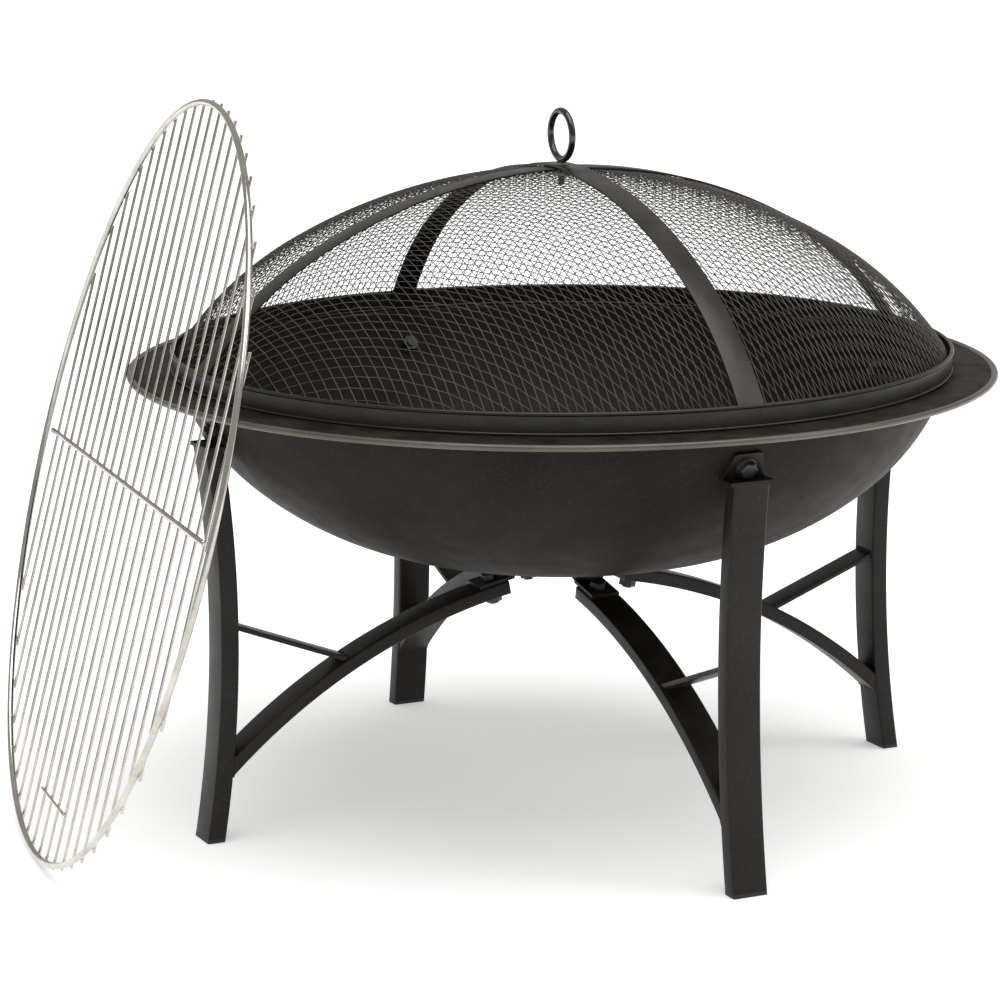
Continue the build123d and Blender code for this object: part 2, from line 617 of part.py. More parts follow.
def all_parts():
    parts = {"fire_bowl": fire_bowl()}
    for name in LEG_NAMES:
        azimuth = leg_azimuth(name)
        parts[f"leg_{name}"] = turned(leg(), azimuth)
        parts[f"foot_cap_{name}"] = turned(foot_cap(), azimuth)
        parts[f"brace_{name}"] = turned(brace(), azimuth)
        parts[f"strut_{name}"] = turned(strut(), azimuth)
        parts[f"leg_bracket_{name}"] = turned(leg_bracket(), azimuth)
        parts[f"bowl_bracket_{name}"] = turned(bowl_bracket(), azimuth)
    parts.update(fastener_nodes())
    parts["screen_band"] = screen_band()
    parts["screen_mesh"] = screen_mesh() - Pos(0, 0, MESH_APEX_Z) * Cylinder(STUD_RADIUS + 0.2, 20)
    parts["screen_strap_lower"] = turned(strap(0.0), FRONT_RIGHT_AZIMUTH + 90)
    parts["screen_strap_upper"] = turned(strap(UPPER_STRAP_RISE), FRONT_RIGHT_AZIMUTH)
    parts["lifting_ring"] = lifting_ring()
    parts["lifting_ring_washer"] = ring_washer()
    parts["lifting_ring_nut"] = ring_nut()
    parts["grate_ring"] = grate_ring()
    parts["grate_wires"] = grate_wires()
    parts["grate_cross_bar"] = grate_cross_bar()
    parts["grate_short_bar"] = grate_short_bar()
    return parts


def main():
    shift_x, shift_y = footprint_shift()
    for name, shape in all_parts().items():
        export_step(Pos(-shift_x, -shift_y, 0) * shape, f"parts/{name}.step")
    print("origin is at", round(shift_x, 3), round(shift_y, 3), "from the bowl's axis")


if __name__ == "__main__":
    main()
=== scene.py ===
from math import acos, asin, cos, degrees, hypot, pi, radians, sin, sqrt

import bmesh
import bpy
import numpy as np
from mathutils import Matrix, Vector


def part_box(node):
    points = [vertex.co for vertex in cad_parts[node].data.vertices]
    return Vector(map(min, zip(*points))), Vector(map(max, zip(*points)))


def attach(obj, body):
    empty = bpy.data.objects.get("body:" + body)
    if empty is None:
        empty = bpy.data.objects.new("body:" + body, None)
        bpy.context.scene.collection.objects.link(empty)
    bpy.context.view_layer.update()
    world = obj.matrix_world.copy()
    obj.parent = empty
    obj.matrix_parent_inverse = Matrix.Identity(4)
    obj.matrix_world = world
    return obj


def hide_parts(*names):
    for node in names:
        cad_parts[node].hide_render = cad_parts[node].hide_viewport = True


# Looks for a garden fire pit: a steel bowl on four curved legs, a lift-off spark screen
# and a leaning wire cooking grate. Shapes are worked out in millimetres about the bowl's
# axis, ground at z = 0, and put in the row frame in metres by add_piece().

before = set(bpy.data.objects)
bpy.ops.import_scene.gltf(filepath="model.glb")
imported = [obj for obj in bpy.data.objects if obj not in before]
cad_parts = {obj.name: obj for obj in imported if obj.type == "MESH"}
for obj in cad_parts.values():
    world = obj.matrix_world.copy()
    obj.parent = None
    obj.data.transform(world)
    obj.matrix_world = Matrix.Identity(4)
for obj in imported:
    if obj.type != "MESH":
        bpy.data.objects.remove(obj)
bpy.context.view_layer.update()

bowl_low, bowl_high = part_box("fire_bowl")
AXIS_X = (bowl_low.x + bowl_high.x) / 2
AXIS_Y = (bowl_low.y + bowl_high.y) / 2
MM = 0.001
LATHE_STEPS = 360

# fire bowl
RIM_RADIUS = 381.0
BEAD_RADIUS = 2.7
BEAD_Z = 387.0
FLANGE_TOP_Z = 388.7
STEEL_WALL = 1.5
BOWL_BOTTOM_Z = 218.7
BOWL_ARCS = ((1025.0, 6.68), (300.7, 33.12))
BOWL_WALL_ARC_RADIUS = 197.0

# legs, braces and struts, in the leg's own radial plane
LEG_NAMES = ("front_right", "back_right", "back_left", "front_left")
FRONT_RIGHT_AZIMUTH = -63.3
LEG_WAIST_Z = 187.5
LEG_BEND_RADIUS = 1100.0
LEG_CENTRE_RADIUS = 330.2 + LEG_BEND_RADIUS
LEG_WIDTH = 32.0
LEG_DEPTH = 16.0
LEG_CORNER = 2.0
LEG_BOTTOM_Z = 3.0
LEG_TOP_Z = 343.0
BRACE_WIDTH = 30.0
BRACE_DEPTH = 12.0
BRACE_CORNER = 1.5
BRACE_ARC_RADIUS = 541.0
BRACE_ARC_CENTRE = (-39.6, -330.2)
BRACE_END_RADIUS = 58.6
BRACE_LAST_ANGLE = 43.6
BRACE_LEG_ANGLE = 42.3
STRUT_WIDTH = 26.0
STRUT_THICKNESS = 4.0
STRUT_LEG_POINT = (318.0, 188.0)
STRUT_BRACE_POINT = (206.0, 145.0)
WELD_RADIUS = 1.5
WELD_PITCH = 2.6

# spark screen
BAND_RADIUS = 341.5
BAND_WALL = 1.5
BAND_BOTTOM_Z = 389.0
BAND_TOP_Z = 408.5
BAND_TOP_BEAD = 1.8
BAND_BOTTOM_BEAD = 1.5
BAND_LOWER_MARK_Z = 397.0   # the band's flat wall has points at these two heights
BAND_UPPER_MARK_Z = 401.0
DOME_APEX_Z = 561.0
DOME_TOP_RADIUS = 473.4
DOME_TOP_TURN = 30.74
DOME_SHOULDER_RADIUS = 296.2
DOME_EDGE_RADIUS = 336.0
DOME_CORNER = 4.0           # rounding between the dome and its skirt
SKIRT_BOTTOM_Z = 396.0
WIRE_RADIUS = 0.36
WIRE_SPACING = 6.4
WIRE_DIRECTIONS = (-27.0, -64.0)
WEAVE_RISE = 0.34
STRAP_WIDTH = 24.0
STRAP_THICKNESS = 1.8
STRAP_GAP = 0.1
UPPER_STRAP_RISE = 2.1
LIFT_RING_RADIUS = 20.9
LIFT_RING_WIRE = 3.0
LIFT_RING_SEAT_Z = 566.25
STUD_RADIUS = 3.0
STUD_BOTTOM_Z = 547.2

# cooking grate, in the grate's own plane: x sideways, y up along it, z away from the pit
GRATE_LEAN_AZIMUTH = -161.7
GRATE_LEAN_ANGLE = 15.0
GRATE_SIDE_SHIFT = 50.0
GRATE_TWIST = 2.0
GRATE_RING_RADIUS = 324.5
GRATE_RING_WIRE = 2.8
GRATE_WIRE = 1.3
GRATE_WIRE_END_RADIUS = 328.2
GRATE_WIRE_SPACING = 29.2
GRATE_WIRES_PER_SIDE = 10
CROSS_BAR_WIRE = 2.3
CROSS_BAR_REACH = 300.0
SHORT_BAR_WIRE = 1.3
SHORT_BAR_HEIGHT = -275.0
SHORT_BAR_ENDS = (-33.2, 62.4)
CLEARANCE = 0.3


# ---- mesh helpers --------------------------------------------------------------------
def arc(centre, radius, start, end, steps):
    """Points on a circle in (radius, height), from angle start to end, 0 along +radius."""
    angles = np.radians(np.linspace(start, end, steps + 1))
    return [(centre[0] + radius * cos(a), centre[1] + radius * sin(a)) for a in angles]


def lathe(outline, closed):
    """An outline in (radius, height) turned about the axis; a point on the axis is one vertex."""
    angles = [2 * pi * k / LATHE_STEPS for k in range(LATHE_STEPS)]
    points = []
    rings = []
    for radius, height in outline:
        first = len(points)
        if radius < 0.001:
            points.append((0.0, 0.0, height))
            rings.append([first] * LATHE_STEPS)
        else:
            points.extend((radius * cos(a), radius * sin(a), height) for a in angles)
            rings.append([first + k for k in range(LATHE_STEPS)])
    pairs = list(zip(rings, rings[1:]))
    if closed:
        pairs.append((rings[-1], rings[0]))
    faces = []
    for low, high in pairs:
        for k in range(LATHE_STEPS):
            after = (k + 1) % LATHE_STEPS
            faces.append(tuple(dict.fromkeys((low[k], low[after], high[after], high[k]))))
    return points, faces


def skin(rings, closed_path=False):
    """A skin over equal rings of points; an open one is capped at both ends."""
    count = len(rings[0])
    points = [tuple(point) for ring in rings for point in ring]
    faces = []
    last = len(rings) if closed_path else len(rings) - 1
    for index in range(last):
        low = index * count
        high = ((index + 1) % len(rings)) * count
        for k in range(count):
            after = (k + 1) % count
            faces.append((low + k, low + after, high + after, high + k))
    if not closed_path:
        faces.append(tuple(range(count))[::-1])
        faces.append(tuple((len(rings) - 1) * count + k for k in range(count)))
    return points, faces


def tube(path, radii, sides, closed_path=False):
    """A round tube along a path; radii is one radius or one per point."""
    path = np.array(path, float)
    if np.isscalar(radii):
        radii = np.full(len(path), radii)
    if closed_path:
        tangents = np.roll(path, -1, 0) - np.roll(path, 1, 0)
    else:
        tangents = np.gradient(path, axis=0)
    tangents /= np.linalg.norm(tangents, axis=1)[:, None]
    seed = np.array((0.0, 0.0, 1.0)) if abs(tangents[0][2]) < 0.9 else np.array((1.0, 0.0, 0.0))
    angles = np.arange(sides) * 2 * pi / sides
    rings = []
    normal = seed
    for point, tangent, radius in zip(path, tangents, radii):
        normal = normal - tangent * normal.dot(tangent)
        normal /= np.linalg.norm(normal)
        side = np.cross(tangent, normal)
        rings.append(point + radius * (np.outer(np.cos(angles), normal) + np.outer(np.sin(angles), side)))
    return skin(rings, closed_path)


def rod(start, end, radius, sides, body_steps=1):
    """A straight round rod with rounded ends."""
    start = np.array(start, float)
    end = np.array(end, float)
    length = np.linalg.norm(end - start)
    along = (end - start) / length
    turns = np.radians((0, 30, 60, 90))
    places = [0.5 * radius * (1 - cos(t)) for t in turns]
    radii = [radius * (0.35 + 0.65 * sin(t)) for t in turns]
    middle = list(np.linspace(places[-1], length - places[-1], body_steps + 1))[1:-1]
    all_places = places + middle + [length - p for p in places[::-1]]
    all_radii = radii + [radius] * len(middle) + radii[::-1]
    return tube([start + along * p for p in all_places], np.array(all_radii), sides)


def rounded_rectangle(width, height, corner, steps=4):
    """Points round a rectangle with rounded corners, centred on the origin."""
    points = []
    for x_sign, y_sign, start in ((1, 1, 0), (-1, 1, 90), (-1, -1, 180), (1, -1, 270)):
        centre = (x_sign * (width / 2 - corner), y_sign * (height / 2 - corner))
        points.extend(arc(centre, corner, start, start + 90, steps))
    return points


def turned(part, azimuth):
    """A part modelled on the +X side, turned to its place about the bowl's axis."""
    turn = np.array(((cos(radians(azimuth)), sin(radians(azimuth)), 0),
                     (-sin(radians(azimuth)), cos(radians(azimuth)), 0), (0, 0, 1)))
    return np.array(part[0], float) @ turn, part[1]


def weld_bead(corners, radius=WELD_RADIUS, closed_path=True):
    """A rippled bead of weld along straight runs between corners."""
    corners = [np.array(corner, float) for corner in corners]
    path = []
    ends = zip(corners, corners[1:] + corners[:1]) if closed_path else zip(corners, corners[1:])
    for start, end in ends:
        steps = max(2, int(np.linalg.norm(end - start) / WELD_PITCH * 4))
        path.extend(start + (end - start) * k / steps for k in range(steps))
    if not closed_path:
        path.append(corners[-1])
    radii = np.array([radius * (1 + 0.16 * sin(k * pi / 2)) for k in range(len(path))])
    return tube(path, radii, 8, closed_path)


def add_piece(name, parts, material, body, replaced, sharp=35.0):
    """One piece from parts of (points, faces), riding on a body in place of CAD nodes."""
    blocks = []
    faces = []
    count = 0
    for points, part_faces in parts:
        blocks.append(np.array(points, float))
        faces.extend(tuple(count + index for index in face) for face in part_faces)
        count += len(points)
    placed = np.concatenate(blocks) * MM + np.array((AXIS_X, AXIS_Y, 0.0))
    mesh = bpy.data.meshes.new(name)
    mesh.from_pydata(placed.tolist(), [], faces)
    mesh.validate()
    outward(mesh)
    mesh.shade_smooth()
    mesh.set_sharp_from_angle(angle=radians(sharp))
    mesh.materials.append(material)
    piece = bpy.data.objects.new(name, mesh)
    bpy.context.scene.collection.objects.link(piece)
    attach(piece, body)
    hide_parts(*replaced)
    return piece


def outward(mesh):
    """Turns every closed shell's faces to point out."""
    shell = bmesh.new()
    shell.from_mesh(mesh)
    bmesh.ops.recalc_face_normals(shell, faces=shell.faces)
    shell.to_mesh(mesh)
    shell.free()


# ---- materials -----------------------------------------------------------------------
class Graph:
    """A node material being put together."""

    def __init__(self, name):
        self.material = bpy.data.materials.new(name)
        self.material.use_nodes = True
        self.nodes = self.material.node_tree.nodes
        self.links = self.material.node_tree.links
        self.shader = self.nodes["Principled BSDF"]
        self.place = self.nodes.new("ShaderNodeTexCoord").outputs["Object"]

    def noise(self, size, detail=4.0, roughness=0.5):
        """Noise from 0 to 1 whose features are about size metres across."""
        node = self.nodes.new("ShaderNodeTexNoise")
        node.inputs["Scale"].default_value = 1.0 / size
        node.inputs["Detail"].default_value = detail
        node.inputs["Roughness"].default_value = roughness
        self.links.new(self.place, node.inputs["Vector"])
        return node.outputs["Fac"]

    def spread(self, value, low, high, to_low=0.0, to_high=1.0):
        """Maps low..high to to_low..to_high, clamped."""
        node = self.nodes.new("ShaderNodeMapRange")
        node.inputs["From Min"].default_value = low
        node.inputs["From Max"].default_value = high
        node.inputs["To Min"].default_value = to_low
        node.inputs["To Max"].default_value = to_high
        self.links.new(value, node.inputs["Value"])
        return node.outputs["Result"]

    def math(self, operation, first, second):
        """One sum of two values; each is a number or a socket."""
        node = self.nodes.new("ShaderNodeMath")
        node.operation = operation
        for socket, value in zip(node.inputs, (first, second)):
            if isinstance(value, (int, float)):
                socket.default_value = value
            else:
                self.links.new(value, socket)
        return node.outputs["Value"]

    def mix(self, factor, first, second):
        """A colour between two colours; each is a tuple or a socket."""
        node = self.nodes.new("ShaderNodeMix")
        node.data_type = "RGBA"
        self.links.new(factor, node.inputs["Factor"])
        for name, value in (("A", first), ("B", second)):
            socket = [s for s in node.inputs if s.name == name and s.type == "RGBA"][0]
            if isinstance(value, tuple):
                socket.default_value = (*value, 1.0)
            else:
                self.links.new(value, socket)
        return [s for s in node.outputs if s.type == "RGBA"][0]

    def edges(self, width):
        """1 on edges sharper than their surroundings, 0 on flat faces."""
        bevel = self.nodes.new("ShaderNodeBevel")
        bevel.inputs["Radius"].default_value = width
        bevel.samples = 4
        geometry = self.nodes.new("ShaderNodeNewGeometry")
        dot = self.nodes.new("ShaderNodeVectorMath")
        dot.operation = "DOT_PRODUCT"
        self.links.new(bevel.outputs["Normal"], dot.inputs[0])
        self.links.new(geometry.outputs["Normal"], dot.inputs[1])
        return self.spread(dot.outputs["Value"], 0.99, 0.80)

    def facing_up(self):
        """1 on faces that look straight up, 0 on walls."""
        geometry = self.nodes.new("ShaderNodeNewGeometry")
        split = self.nodes.new("ShaderNodeSeparateXYZ")
        self.links.new(geometry.outputs["Normal"], split.inputs["Vector"])
        return split.outputs["Z"]

    def bump(self, height, depth, strength=1.0, under=None):
        """A bumped normal, depth metres at full height, on top of another if given."""
        node = self.nodes.new("ShaderNodeBump")
        node.inputs["Strength"].default_value = strength
        node.inputs["Distance"].default_value = depth
        self.links.new(height, node.inputs["Height"])
        if under is not None:
            self.links.new(under, node.inputs["Normal"])
        return node.outputs["Normal"]

    def finish(self, **sockets):
        """Sets or links the shader's own sockets by plain names, and gives the material."""
        names = {"colour": "Base Color", "roughness": "Roughness", "metallic": "Metallic",
                 "normal": "Normal", "specular": "Specular IOR Level"}
        for key, value in sockets.items():
            socket = self.shader.inputs[names[key]]
            if isinstance(value, (int, float)):
                socket.default_value = value
            else:
                self.links.new(value, socket)
        return self.material


DUST_COLOUR = (0.10, 0.093, 0.08)


def baked_paint(name, deep, light, worn, rough_low, rough_high, grain=0.0011, depth=0.00003, wear=0.6,
                specular=0.5, dust=0.25):
    """Heat-proof black paint: fine grain, cloudy gloss, rubbed edges, a little dust on top."""
    g = Graph(name)
    cloud = g.spread(g.noise(0.09, 5.0), 0.35, 0.7)
    speck = g.spread(g.noise(0.0035, 3.0), 0.55, 0.78)
    colour = g.mix(cloud, deep, light)
    fleck = g.math("MULTIPLY", speck, 0.22)
    colour = g.mix(fleck, colour, worn)
    edge = g.edges(0.0011)
    patch = g.spread(g.noise(0.011, 6.0, 0.65), 0.38, 0.64)
    rub = g.math("MULTIPLY", g.math("MULTIPLY", edge, patch), wear)
    colour = g.mix(rub, colour, worn)
    settled = g.spread(g.facing_up(), 0.6, 1.0)
    drift = g.spread(g.noise(0.03, 6.0, 0.6), 0.40, 0.75)
    film = g.math("MULTIPLY", g.math("MULTIPLY", settled, drift), dust)
    colour = g.mix(film, colour, DUST_COLOUR)
    gloss = g.spread(g.noise(0.022, 5.0), 0.3, 0.7, rough_low, rough_high)
    gloss = g.math("ADD", gloss, g.math("MULTIPLY", film, 0.15))
    grit = g.noise(grain, 3.0, 0.6)
    orange_peel = g.noise(grain * 5, 2.0)
    normal = g.bump(grit, depth, 0.7, g.bump(orange_peel, depth * 2.0, 0.5))
    return g.finish(colour=colour, roughness=gloss, normal=normal, specular=specular)


def bare_wire(name, deep, light, metallic, rough_low, rough_high, streak=0.004, depth=0.00001,
              tarnish=None, specular=0.5):
    """Drawn or plated wire: cloudy tarnish, fine marks and uneven gloss."""
    g = Graph(name)
    cloud = g.spread(g.noise(0.03, 5.0, 0.6), 0.35, 0.68)
    colour = g.mix(cloud, deep, light)
    if tarnish is not None:
        spots = g.spread(g.noise(streak, 4.0, 0.7), 0.56, 0.72, 0.0, 0.5)
        colour = g.mix(spots, colour, tarnish)
    gloss = g.spread(g.noise(0.008, 4.0), 0.3, 0.7, rough_low, rough_high)
    marks = g.noise(0.0009, 3.0, 0.6)
    return g.finish(colour=colour, roughness=gloss, metallic=metallic, normal=g.bump(marks, depth, 0.6),
                    specular=specular)


BODY_PAINT = baked_paint("body_paint", (0.0078, 0.0060, 0.0042), (0.0130, 0.0100, 0.0073),
                         (0.060, 0.050, 0.038), 0.48, 0.60, specular=0.13)
# The rim material's colours sit far above the body paint: a painted highlight along the rolled edge. Its
# lower roughness and higher specular make the edge glossier.
RIM_PAINTED_HIGHLIGHT = baked_paint("rim_paint_painted_highlight", (0.060, 0.054, 0.040), (0.100, 0.092, 0.070),
                        (0.190, 0.175, 0.135), 0.22, 0.32, specular=0.6)
LEG_PAINT = baked_paint("leg_paint", (0.0110, 0.0094, 0.0080), (0.0175, 0.0152, 0.0130),
                        (0.070, 0.060, 0.048), 0.32, 0.44, grain=0.0009, specular=0.20)
SCREEN_PAINT = baked_paint("screen_paint", (0.0085, 0.0068, 0.0040), (0.0140, 0.0115, 0.0068),
                           (0.070, 0.060, 0.038), 0.26, 0.38, grain=0.0008, depth=0.00002, specular=0.42)
MESH_WIRE = bare_wire("mesh_wire_paint", (0.045, 0.041, 0.034), (0.080, 0.073, 0.060), 0.0, 0.36, 0.50,
                      tarnish=(0.13, 0.118, 0.095), specular=0.5)
RING_GLOSS = bare_wire("ring_gloss", (0.004, 0.004, 0.0037), (0.008, 0.0078, 0.007), 0.0, 0.10, 0.18,
                       depth=0.000004, specular=0.85)
FASTENER_BLACK = baked_paint("fastener_black_zinc", (0.016, 0.0155, 0.015), (0.030, 0.029, 0.028),
                             (0.16, 0.155, 0.15), 0.30, 0.42, grain=0.0006, depth=0.00001, wear=0.8)
FASTENER_STEEL = bare_wire("fastener_zinc", (0.30, 0.295, 0.28), (0.44, 0.43, 0.41), 0.9, 0.30, 0.45,
                           tarnish=(0.14, 0.13, 0.11))
FOOT_PLASTIC = baked_paint("foot_cap_plastic", (0.010, 0.010, 0.010), (0.016, 0.016, 0.0155),
                           (0.06, 0.06, 0.058), 0.50, 0.64, grain=0.0013, depth=0.00004, wear=0.4)
CHROME = bare_wire("grate_chrome", (0.46, 0.44, 0.40), (0.64, 0.615, 0.565), 1.0, 0.14, 0.24,
                   tarnish=(0.28, 0.255, 0.21))


# ---- fire bowl -----------------------------------------------------------------------
def bowl_arcs(inset, top_z, steps=(10, 26, 46)):
    """The bowl's side view from the axis up to top_z, inset from its outer face."""
    centre = (0.0, BOWL_BOTTOM_Z + BOWL_ARCS[0][0])
    heading = 0.0
    radii = [BOWL_ARCS[0][0], BOWL_ARCS[1][0], BOWL_WALL_ARC_RADIUS]
    points = []
    for index, radius in enumerate(radii):
        inner = radius - inset
        if index < 2:
            end = heading + BOWL_ARCS[index][1]
        else:
            end = degrees(acos((centre[1] - top_z) / inner))
        points.extend(arc(centre, inner, heading - 90, end - 90, steps[index])[:-1])
        if index < 2:
            heading = end
            step = radius - radii[index + 1]
            centre = (centre[0] + step * sin(radians(end)), centre[1] - step * cos(radians(end)))
        else:
            points.append((centre[0] + inner * sin(radians(end)), centre[1] - inner * cos(radians(end))))
    points[0] = (0.0, points[0][1])
    return points


def rounded_corner(before, corner, after, radius, steps=6):
    """Points that round a corner with an arc-like curve of about that radius."""
    before, corner, after = (np.array(p, float) for p in (before, corner, after))
    into = (before - corner) / np.linalg.norm(before - corner)
    out = (after - corner) / np.linalg.norm(after - corner)
    half = acos(max(-1.0, min(1.0, float(into.dot(out))))) / 2
    reach = radius / np.tan(half)
    first = corner + into * reach
    last = corner + out * reach
    points = []
    for k in range(steps + 1):
        t = k / steps
        points.append(tuple((1 - t) ** 2 * first + 2 * t * (1 - t) * corner + t ** 2 * last))
    return points, reach


def trimmed(points, corner, reach):
    """Drops the points of a line that lie within reach of a corner."""
    return [p for p in points if hypot(p[0] - corner[0], p[1] - corner[1]) > reach + 0.05]


def bowl_outline():
    """The bowl's whole section: outside, flange, rolled edge, the groove beside it, inside."""
    underside = FLANGE_TOP_Z - STEEL_WALL
    bead = (RIM_RADIUS - BEAD_RADIUS, BEAD_Z)
    outer = bowl_arcs(0.0, underside)
    outer_turn, outer_reach = rounded_corner(outer[-2], outer[-1], (bead[0], underside), 4.5)
    outer = trimmed(outer, outer[-1], outer_reach) + outer_turn
    inner = bowl_arcs(STEEL_WALL, FLANGE_TOP_Z)
    inner_turn, inner_reach = rounded_corner(inner[-2], inner[-1], (bead[0], FLANGE_TOP_Z), 3.0)
    inner = trimmed(inner, inner[-1], inner_reach) + inner_turn
    flange_under = [(352.0, underside), (366.0, underside), (374.5, underside)]
    rolled = arc(bead, BEAD_RADIUS, 192, 360, 14) + arc(bead, BEAD_RADIUS, 0, 138, 12)[1:]
    groove = [(375.2, 388.35), (374.2, 387.95), (373.0, 387.75), (371.8, 387.95), (370.8, 388.4),
              (369.6, 388.66), (368.0, FLANGE_TOP_Z), (352.0, FLANGE_TOP_Z)]
    return outer + flange_under + rolled + groove + inner[::-1]


bowl_sheet = add_piece("bowl_sheet", [lathe(bowl_outline(), False)], BODY_PAINT, "pit_stand",
                       ["fire_bowl"], sharp=60)
# Faces on the rolled edge take the rim material, so the painted highlight runs along the bead.
bowl_sheet.data.materials.append(RIM_PAINTED_HIGHLIGHT)
for face in bowl_sheet.data.polygons:
    reach = hypot(face.center.x - AXIS_X, face.center.y - AXIS_Y)
    face.material_index = 1 if reach > (RIM_RADIUS - 2 * BEAD_RADIUS) * MM else 0


# ---- legs, braces and struts ---------------------------------------------------------
def leg_face_radius(z, depth):
    """Radius of the leg's face at height z: depth 0 is the outer face."""
    return LEG_CENTRE_RADIUS - sqrt((LEG_BEND_RADIUS + depth) ** 2 - (z - LEG_WAIST_Z) ** 2)


def leg_part():
    """A curved leg tube in the +X plane."""
    rings = []
    for z in np.linspace(LEG_BOTTOM_Z, LEG_TOP_Z, 86):
        outer = leg_face_radius(z, 0.0)
        inner = leg_face_radius(z, LEG_DEPTH)
        outline = rounded_rectangle(outer - inner, LEG_WIDTH, LEG_CORNER)
        middle = (outer + inner) / 2
        rings.append([(middle + x, y, z) for x, y in outline])
    return skin(rings)


def brace_point(angle, height):
    """A point in the brace's radial plane, height above the middle of its section."""
    radius = BRACE_ARC_RADIUS - BRACE_DEPTH / 2 + height
    return (BRACE_ARC_CENTRE[0] + radius * sin(radians(angle)),
            BRACE_ARC_CENTRE[1] + radius * cos(radians(angle)))


def brace_section(angle, shrink=0.0):
    """The brace's outline across its arc at an angle, shrunk at the end's rounded edge."""
    outline = rounded_rectangle(BRACE_WIDTH - 2 * shrink, BRACE_DEPTH - 2 * shrink, BRACE_CORNER - shrink)
    ring = []
    for y, height in outline:
        radius, z = brace_point(angle, height)
        ring.append((radius, y, z))
    return ring


def brace_part():
    """An arched brace from under the bowl to the leg."""
    start = degrees(asin((BRACE_END_RADIUS - BRACE_ARC_CENTRE[0]) / BRACE_ARC_RADIUS))
    edge = degrees(0.4 / BRACE_ARC_RADIUS)
    rings = [brace_section(start, 0.4), brace_section(start + edge * 0.35, 0.12)]
    rings += [brace_section(angle) for angle in np.linspace(start + edge, BRACE_LAST_ANGLE, 64)]
    return skin(rings)


def leg_inner_point(radial_point, direction):
    """Slides a point along direction until it is on the leg's inner face."""
    radius, z = radial_point
    for _ in range(40):     # each pass closes most of the gap that is left
        gap = leg_face_radius(z, LEG_DEPTH) - radius
        radius += gap * direction[0] * 0.9
        z += gap * direction[1] * 0.9
    return radius, z


def brace_weld():
    """The weld round the brace's end on the leg."""
    corners = []
    direction = (cos(radians(BRACE_LEG_ANGLE)), -sin(radians(BRACE_LEG_ANGLE)))
    half = BRACE_WIDTH / 2 - 0.6
    for y, height in ((half, 5.2), (-half, 5.2), (-half, -5.2), (half, -5.2)):
        radius, z = leg_inner_point(brace_point(BRACE_LEG_ANGLE, height), direction)
        corners.append((radius, y, z))
    return weld_bead(corners)


def strut_part():
    """A flat strut from the brace to the leg."""
    (leg_r, leg_z), (brace_r, brace_z) = STRUT_LEG_POINT, STRUT_BRACE_POINT
    length = hypot(leg_r - brace_r, leg_z - brace_z)
    along = ((leg_r - brace_r) / length, (leg_z - brace_z) / length)
    rings = []
    for place in (0.0, 0.25 * length, 0.5 * length, 0.75 * length, length):
        ring = []
        for y, height in rounded_rectangle(STRUT_WIDTH, STRUT_THICKNESS, 0.5, 3):
            ring.append((brace_r + along[0] * place - along[1] * height, y,
                         brace_z + along[1] * place + along[0] * height))
        rings.append(ring)
    return skin(rings)


def strut_welds():
    """Welds above and below the strut at both of its ends."""
    (leg_r, leg_z), (brace_r, brace_z) = STRUT_LEG_POINT, STRUT_BRACE_POINT
    length = hypot(leg_r - brace_r, leg_z - brace_z)
    along = ((leg_r - brace_r) / length, (leg_z - brace_z) / length)
    beads = []
    half = STRUT_WIDTH / 2 - 2.0
    for height in (STRUT_THICKNESS / 2 + 0.2, -STRUT_THICKNESS / 2 - 0.2):
        z = leg_z + height
        leg_end = leg_face_radius(z, LEG_DEPTH)
        beads.append(weld_bead([(leg_end, -half, z), (leg_end, half, z)], 1.1, False))
        place = 0.0
        for _ in range(60):
            radius = brace_r + along[0] * place - along[1] * height
            level = brace_z + along[1] * place + along[0] * height
            reach = hypot(radius - BRACE_ARC_CENTRE[0], level - BRACE_ARC_CENTRE[1])
            place += (BRACE_ARC_RADIUS - reach) * 0.8
        beads.append(weld_bead([(radius, -half, level), (radius, half, level)], 1.1, False))
    return beads


for number, leg_name in enumerate(LEG_NAMES):
    azimuth = FRONT_RIGHT_AZIMUTH + 90.0 * number
    add_piece(f"leg_tube_{leg_name}", [turned(leg_part(), azimuth)], LEG_PAINT, "pit_stand",
              [f"leg_{leg_name}"])
    add_piece(f"brace_tube_{leg_name}", [turned(brace_part(), azimuth), turned(brace_weld(), azimuth)],
              LEG_PAINT, "pit_stand", [f"brace_{leg_name}"])
    add_piece(f"strut_bar_{leg_name}",
              [turned(strut_part(), azimuth)] + [turned(bead, azimuth) for bead in strut_welds()],
              LEG_PAINT, "pit_stand", [f"strut_{leg_name}"])


# ---- spark screen --------------------------------------------------------------------
def band_outline():
    """The band's section: a flat wall with a bead along each edge."""
    middle = BAND_RADIUS - BAND_WALL / 2
    half = BAND_WALL / 2
    top_turn = degrees(acos(half / BAND_TOP_BEAD))
    low_turn = degrees(acos(half / BAND_BOTTOM_BEAD))
    top = arc((middle, BAND_TOP_Z - BAND_TOP_BEAD), BAND_TOP_BEAD, -top_turn, 180 + top_turn, 18)
    low = arc((middle, BAND_BOTTOM_Z + BAND_BOTTOM_BEAD), BAND_BOTTOM_BEAD,
              180 - low_turn, 360 + low_turn, 16)
    outside = [(BAND_RADIUS, BAND_LOWER_MARK_Z), (BAND_RADIUS, BAND_UPPER_MARK_Z)]
    inside = [(middle - half, BAND_UPPER_MARK_Z), (middle - half, BAND_LOWER_MARK_Z)]
    return low + outside + top + inside


